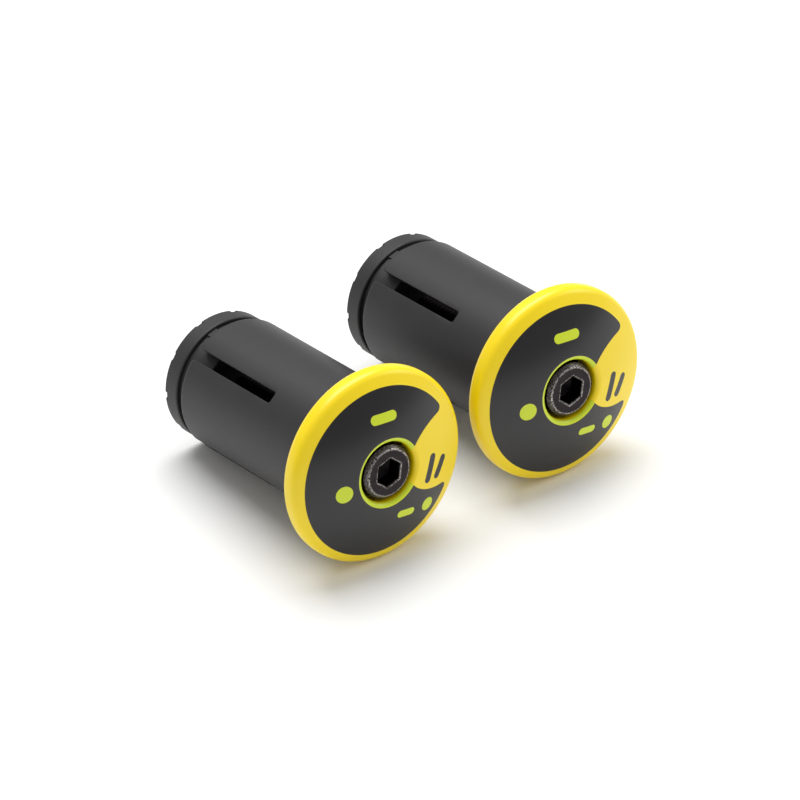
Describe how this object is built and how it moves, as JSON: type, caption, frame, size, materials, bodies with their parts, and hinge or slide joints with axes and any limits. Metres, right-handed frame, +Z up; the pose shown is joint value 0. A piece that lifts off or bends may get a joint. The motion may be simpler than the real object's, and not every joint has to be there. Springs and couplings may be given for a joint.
{
  "type": "expanding handlebar end plug pair",
  "caption": "Pair of expanding end plugs for a drop handlebar: domed cap, slotted sleeve, cap screw and a tapered wedge that spreads the sleeve's fingers.",
  "frame": {"origin": "centre of the pair's bounding box, on the surface that the pair lies on", "axes": "+X from the left plug to the right plug; the caps face -Y and each plug's axis slopes down towards +Y by 7.87 degrees, as it lies on its cap's rim and its wedge's rear edge; +Z is up"},
  "size_m": [0.0644, 0.0444, 0.0303],
  "materials": {
    "cap_plastic": "glossy yellow moulded plastic with a black print on the dome",
    "sleeve_plastic": "satin black moulded nylon",
    "wedge_plastic": "satin black moulded nylon",
    "screw_steel": "black oxide steel, knurled head",
    "washer_steel": "zinc plated steel",
    "nut_steel": "zinc plated steel"
  },
  "bodies": {
    "left_sleeve": {"left_sleeve_collar": "sleeve_plastic"},
    "left_cap": {"left_end_cap": "cap_plastic"},
    "left_screw": {"left_screw": "screw_steel", "left_washer": "washer_steel"},
    "left_wedge": {"left_wedge": "wedge_plastic", "left_nut": "nut_steel"},
    "left_finger_1": {"left_finger_1": "sleeve_plastic"},
    "left_finger_2": {"left_finger_2": "sleeve_plastic"},
    "left_finger_3": {"left_finger_3": "sleeve_plastic"},
    "left_finger_4": {"left_finger_4": "sleeve_plastic"},
    "right_sleeve": {"right_sleeve_collar": "sleeve_plastic"},
    "right_cap": {"right_end_cap": "cap_plastic"},
    "right_screw": {"right_screw": "screw_steel", "right_washer": "washer_steel"},
    "right_wedge": {"right_wedge": "wedge_plastic", "right_nut": "nut_steel"},
    "right_finger_1": {"right_finger_1": "sleeve_plastic"},
    "right_finger_2": {"right_finger_2": "sleeve_plastic"},
    "right_finger_3": {"right_finger_3": "sleeve_plastic"},
    "right_finger_4": {"right_finger_4": "sleeve_plastic"}
  },
  "joints": [
    {"name": "left_screw_turn", "type": "hinge", "parent": "left_sleeve", "child": "left_screw", "pos_m": [-0.017, -0.01532, 0.01492], "axis": [0, 0.9906, -0.1369], "range_deg": [0, 540]},
    {"name": "left_wedge_draw", "type": "slide", "parent": "left_sleeve", "child": "left_wedge", "axis": [0, -0.9906, 0.1369], "range_m": [0, 0.0012]},
    {"name": "left_finger_1_flex", "type": "hinge", "parent": "left_sleeve", "child": "left_finger_1", "pos_m": [-0.01609, -0.00072, 0.02336], "axis": [0.9962, -0.0119, -0.0863], "range_deg": [0, 1.6]},
    {"name": "left_finger_2_flex", "type": "hinge", "parent": "left_sleeve", "child": "left_finger_2", "pos_m": [-0.02736, -0.00202, 0.01399], "axis": [0.0872, 0.1364, 0.9868], "range_deg": [0, 1.6]},
    {"name": "left_finger_3_flex", "type": "hinge", "parent": "left_sleeve", "child": "left_finger_3", "pos_m": [-0.01791, -0.00356, 0.00283], "axis": [-0.9962, 0.0119, 0.0863], "range_deg": [0, 1.6]},
    {"name": "left_finger_4_flex", "type": "hinge", "parent": "left_sleeve", "child": "left_finger_4", "pos_m": [-0.00664, -0.00227, 0.0122], "axis": [-0.0872, -0.1364, -0.9868], "range_deg": [0, 1.6]},
    {"name": "left_cap_turn", "type": "hinge", "parent": "left_sleeve", "child": "left_cap", "pos_m": [-0.017, -0.01532, 0.01492], "axis": [0, -0.9906, 0.1369], "continuous": true},
    {"name": "right_screw_turn", "type": "hinge", "parent": "right_sleeve", "child": "right_screw", "pos_m": [0.017, -0.01532, 0.01492], "axis": [0, 0.9906, -0.1369], "range_deg": [0, 540]},
    {"name": "right_wedge_draw", "type": "slide", "parent": "right_sleeve", "child": "right_wedge", "axis": [0, -0.9906, 0.1369], "range_m": [0, 0.0012]},
    {"name": "right_finger_1_flex", "type": "hinge", "parent": "right_sleeve", "child": "right_finger_1", "pos_m": [0.01791, -0.00072, 0.02336], "axis": [0.9962, -0.0119, -0.0863], "range_deg": [0, 1.6]},
    {"name": "right_finger_2_flex", "type": "hinge", "parent": "right_sleeve", "child": "right_finger_2", "pos_m": [0.00664, -0.00202, 0.01399], "axis": [0.0872, 0.1364, 0.9868], "range_deg": [0, 1.6]},
    {"name": "right_finger_3_flex", "type": "hinge", "parent": "right_sleeve", "child": "right_finger_3", "pos_m": [0.01609, -0.00356, 0.00283], "axis": [-0.9962, 0.0119, 0.0863], "range_deg": [0, 1.6]},
    {"name": "right_finger_4_flex", "type": "hinge", "parent": "right_sleeve", "child": "right_finger_4", "pos_m": [0.02736, -0.00227, 0.0122], "axis": [-0.0872, -0.1364, -0.9868], "range_deg": [0, 1.6]},
    {"name": "right_cap_turn", "type": "hinge", "parent": "right_sleeve", "child": "right_cap", "pos_m": [0.017, -0.01532, 0.01492], "axis": [0, -0.9906, 0.1369], "continuous": true},
    {"name": "pair_spread", "type": "slide", "parent": "left_sleeve", "child": "right_sleeve", "axis": [1, 0, 0], "range_m": [-0.002, 0.03]}
  ],
  "couplings": [
    {"joint": "left_screw_turn", "follows": "left_wedge_draw", "rad_per_m": 7854},
    {"joint": "left_finger_1_flex", "follows": "left_wedge_draw", "rad_per_m": 22.383},
    {"joint": "left_finger_2_flex", "follows": "left_wedge_draw", "rad_per_m": 22.383},
    {"joint": "left_finger_3_flex", "follows": "left_wedge_draw", "rad_per_m": 22.383},
    {"joint": "left_finger_4_flex", "follows": "left_wedge_draw", "rad_per_m": 22.383},
    {"joint": "right_screw_turn", "follows": "right_wedge_draw", "rad_per_m": 7854},
    {"joint": "right_finger_1_flex", "follows": "right_wedge_draw", "rad_per_m": 22.383},
    {"joint": "right_finger_2_flex", "follows": "right_wedge_draw", "rad_per_m": 22.383},
    {"joint": "right_finger_3_flex", "follows": "right_wedge_draw", "rad_per_m": 22.383},
    {"joint": "right_finger_4_flex", "follows": "right_wedge_draw", "rad_per_m": 22.383}
  ]
}
